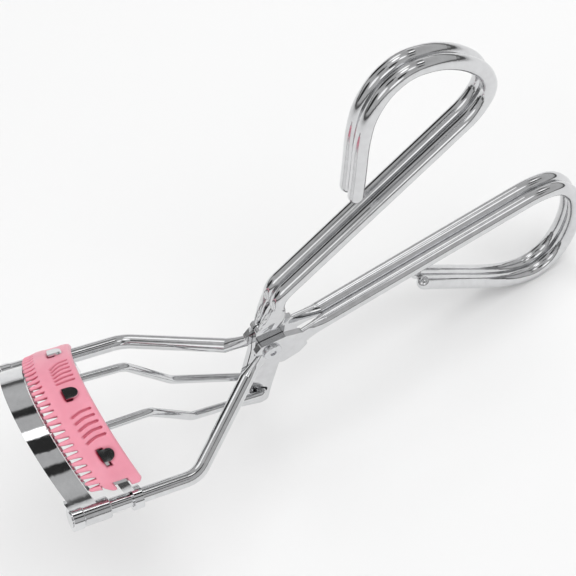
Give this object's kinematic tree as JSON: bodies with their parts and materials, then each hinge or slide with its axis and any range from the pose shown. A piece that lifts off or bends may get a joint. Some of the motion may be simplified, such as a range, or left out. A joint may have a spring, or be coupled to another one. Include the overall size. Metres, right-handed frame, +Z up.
{
  "type": "eyelash curler",
  "caption": "Scissor-action eyelash curler in bent chromed wire, with two finger loops, a sliding jaw under a pink lash comb, and a curved fixed jaw.",
  "frame": {"origin": "middle of the bounding box's bottom face, in the middle plane between the two sides", "axes": "+X along the pivot rivet, towards the right-hand side; +Y from the jaws towards the finger loops, along the frame handle; +Z up, towards the lever handle"},
  "size_m": [0.035, 0.1064, 0.0756],
  "materials": {
    "chromed_wire": "bright chrome plating over round steel wire",
    "chromed_sheet": "bright chrome plating over pressed steel sheet",
    "chromed_rivet": "chrome plating, scuffed where the end is peened",
    "weld_metal": "plated resistance-weld metal",
    "pink_plastic": "satin, slightly translucent moulded polypropylene",
    "pad_rubber": "soft translucent silicone"
  },
  "bodies": {
    "frame": {"frame_wire_left": "chromed_wire", "frame_wire_right": "chromed_wire", "pivot_rivet": "chromed_rivet", "ferrule_left": "chromed_wire", "ferrule_right": "chromed_wire", "fixed_jaw": "chromed_sheet", "lash_pad": "pad_rubber", "frame_welds": "weld_metal"},
    "lever": {"lever_wire_left": "chromed_wire", "lever_wire_right": "chromed_wire", "lever_welds": "weld_metal"},
    "jaw": {"moving_jaw": "chromed_sheet", "comb": "pink_plastic", "link_wire": "chromed_wire"}
  },
  "joints": [
    {"name": "lever_pivot", "type": "hinge", "parent": "frame", "child": "lever", "pos_m": [0, -0.01023, 0.02688], "axis": [1, 0, 0], "range_deg": [-17, 3]},
    {"name": "jaw_slide", "type": "slide", "parent": "frame", "child": "jaw", "axis": [0, -0.9146, 0.4043], "range_m": [-0.00065, 0.0036]}
  ],
  "couplings": [
    {"joint": "jaw_slide", "follows": "lever_pivot", "m_per_rad": -0.011913}
  ]
}
